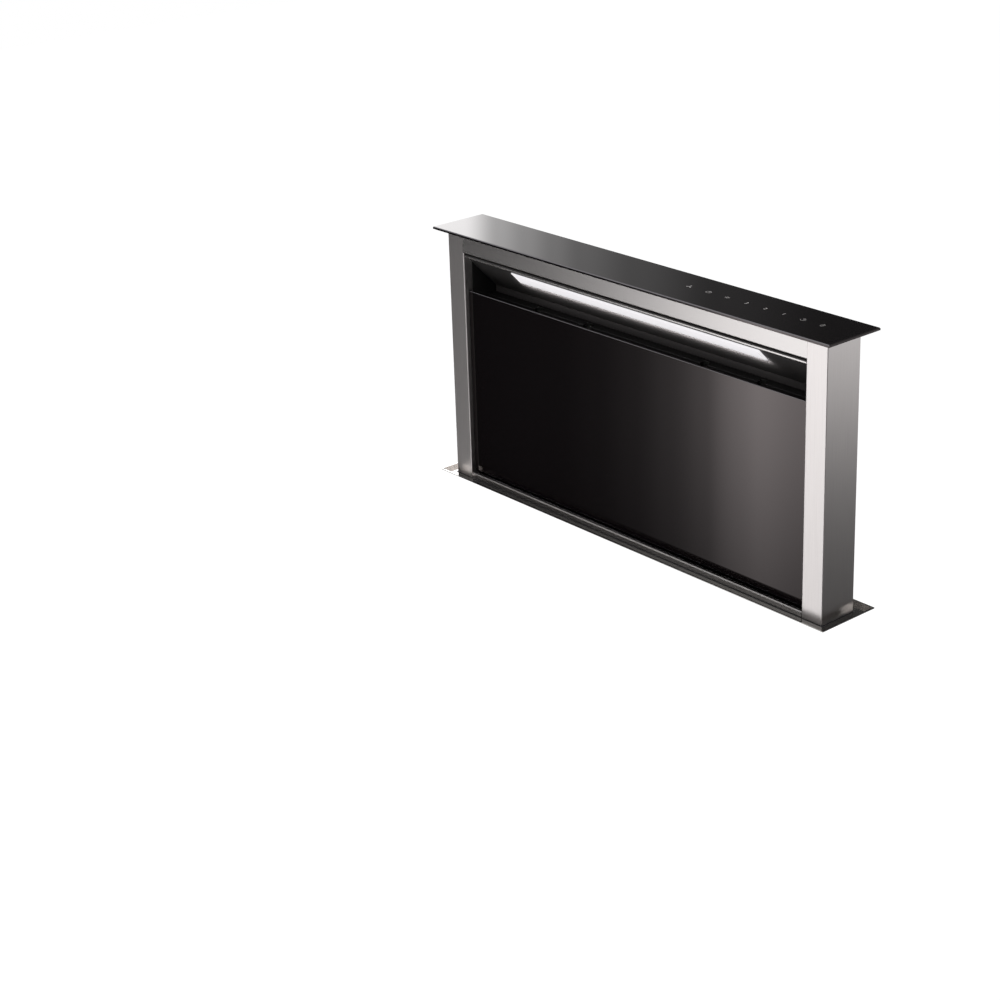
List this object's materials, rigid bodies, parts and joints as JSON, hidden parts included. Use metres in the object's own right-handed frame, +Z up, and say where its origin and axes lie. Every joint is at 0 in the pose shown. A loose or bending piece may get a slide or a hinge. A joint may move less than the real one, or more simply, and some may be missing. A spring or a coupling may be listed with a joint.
{
  "type": "downdraft vent",
  "caption": "Downdraft kitchen vent: a motor-driven steel and black glass column that rises from the worktop, with lamp, filters, housing and blower below.",
  "frame": {"origin": "on the cabinet floor, under the middle of the vent's bounding box", "axes": "+X to the right as seen from the hob, +Y to the back, +Z up; the vent is raised at rest"},
  "size_m": [0.932, 0.2978, 1.1412],
  "materials": {
    "black_glass": "polished black glass",
    "brushed_steel": "stainless steel, brushed along its length",
    "polished_steel": "bright stainless steel",
    "galvanised_steel": "galvanised sheet, matt",
    "black_steel": "satin black paint",
    "steel": "turned steel",
    "aluminium": "satin aluminium",
    "bronze": "plain bronze",
    "rubber": "matt black rubber",
    "opal_plastic": "opal diffuser",
    "white_plastic": "natural slide plastic",
    "black_plastic": "moulded black plastic",
    "grey_plastic": "moulded grey plastic",
    "circuit_board": "green board",
    "magnet": "nickel-plated magnet"
  },
  "bodies": {
    "housing": {"trim_tray": "polished_steel", "mouth_seal": "rubber", "housing_front": "galvanised_steel", "housing_back": "galvanised_steel", "housing_sides": "galvanised_steel", "housing_floor": "galvanised_steel", "guide_rails": "aluminium", "drive_plate": "steel", "bearing_blocks": "grey_plastic", "drive_belt": "rubber", "lift_motor": "aluminium", "blower_box": "galvanised_steel", "blower_cover": "galvanised_steel", "scroll_housing": "grey_plastic", "inlet_ring": "galvanised_steel", "fan_motor": "aluminium", "duct_spigot": "black_plastic", "control_box": "galvanised_steel", "control_cover": "galvanised_steel", "control_board": "circuit_board", "cable_gland": "black_plastic", "foot_brackets": "galvanised_steel", "levelling_feet": "steel", "fasteners": "steel"},
    "column": {"cap_glass": "black_glass", "cap_gasket": "rubber", "cap_carrier": "black_steel", "touch_board": "circuit_board", "left_post": "brushed_steel", "right_post": "brushed_steel", "top_rail": "brushed_steel", "lamp_housing": "black_steel", "light_lens": "opal_plastic", "led_board": "circuit_board", "duct_liners": "black_steel", "lower_fascia": "brushed_steel", "back_panel": "brushed_steel", "filter_rails": "black_steel", "filter_frames": "aluminium", "filter_meshes": "aluminium", "carriage": "aluminium", "lead_nuts": "bronze", "slide_shoes": "white_plastic", "catch_magnets": "magnet"},
    "panel": {"glass_panel": "black_glass", "panel_frame": "brushed_steel", "panel_pivots": "steel"},
    "latch_left": {"latch_left": "steel"},
    "latch_right": {"latch_right": "steel"},
    "left_screw": {"left_screw": "steel", "left_pulley": "aluminium"},
    "right_screw": {"right_screw": "steel", "right_pulley": "aluminium"},
    "motor_pulley": {"motor_pulley": "aluminium"},
    "fan": {"impeller": "black_plastic", "fan_shaft": "steel"},
    "damper_front": {"damper_flap_front": "grey_plastic"},
    "damper_back": {"damper_flap_back": "grey_plastic"},
    "clamp_left": {"clamp_left": "steel"},
    "clamp_right": {"clamp_right": "steel"}
  },
  "joints": [
    {"name": "lift", "type": "slide", "parent": "housing", "child": "column", "axis": [0, 0, 1], "range_m": [-0.44, 0]},
    {"name": "panel_tilt", "type": "hinge", "parent": "column", "child": "panel", "pos_m": [0, 0.07475, 0.7152], "axis": [1, 0, 0], "range_deg": [0, 40]},
    {"name": "left_latch_press", "type": "slide", "parent": "column", "child": "latch_left", "axis": [0, -0.0872, -0.9962], "range_m": [0, 0.004], "stiffness_N_per_m": 300, "springref_m": -0.004},
    {"name": "right_latch_press", "type": "slide", "parent": "column", "child": "latch_right", "axis": [0, -0.0872, -0.9962], "range_m": [0, 0.004], "stiffness_N_per_m": 300, "springref_m": -0.004},
    {"name": "left_screw_turn", "type": "hinge", "parent": "housing", "child": "left_screw", "pos_m": [-0.4025, 0.08975, 0.092], "axis": [0, 0, 1], "continuous": true},
    {"name": "right_screw_turn", "type": "hinge", "parent": "housing", "child": "right_screw", "pos_m": [0.4025, 0.08975, 0.092], "axis": [0, 0, 1], "continuous": true},
    {"name": "motor_pulley_turn", "type": "hinge", "parent": "housing", "child": "motor_pulley", "pos_m": [0.3425, 0.10675, 0.058], "axis": [0, 0, 1], "continuous": true},
    {"name": "fan_turn", "type": "hinge", "parent": "housing", "child": "fan", "pos_m": [-0.015, -0.04675, 0.33], "axis": [0, 1, 0], "continuous": true},
    {"name": "damper_front_swing", "type": "hinge", "parent": "housing", "child": "damper_front", "pos_m": [0.1912, -0.04675, 0.233], "axis": [0, 0, 1], "range_deg": [0, 75], "stiffness_Nm_per_rad": 0.01, "springref_deg": -17.19},
    {"name": "damper_back_swing", "type": "hinge", "parent": "housing", "child": "damper_back", "pos_m": [0.1912, -0.04675, 0.233], "axis": [0, 0, -1], "range_deg": [0, 75], "stiffness_Nm_per_rad": 0.01, "springref_deg": -17.19},
    {"name": "clamp_left_slide", "type": "slide", "parent": "housing", "child": "clamp_left", "axis": [0, 0, 1], "range_m": [-0.018, 0.018]},
    {"name": "clamp_right_slide", "type": "slide", "parent": "housing", "child": "clamp_right", "axis": [0, 0, 1], "range_m": [-0.018, 0.018]}
  ],
  "couplings": [
    {"joint": "left_screw_turn", "follows": "lift", "rad_per_m": -785.4},
    {"joint": "right_screw_turn", "follows": "lift", "rad_per_m": -785.4},
    {"joint": "motor_pulley_turn", "follows": "lift", "rad_per_m": -1178.1}
  ]
}
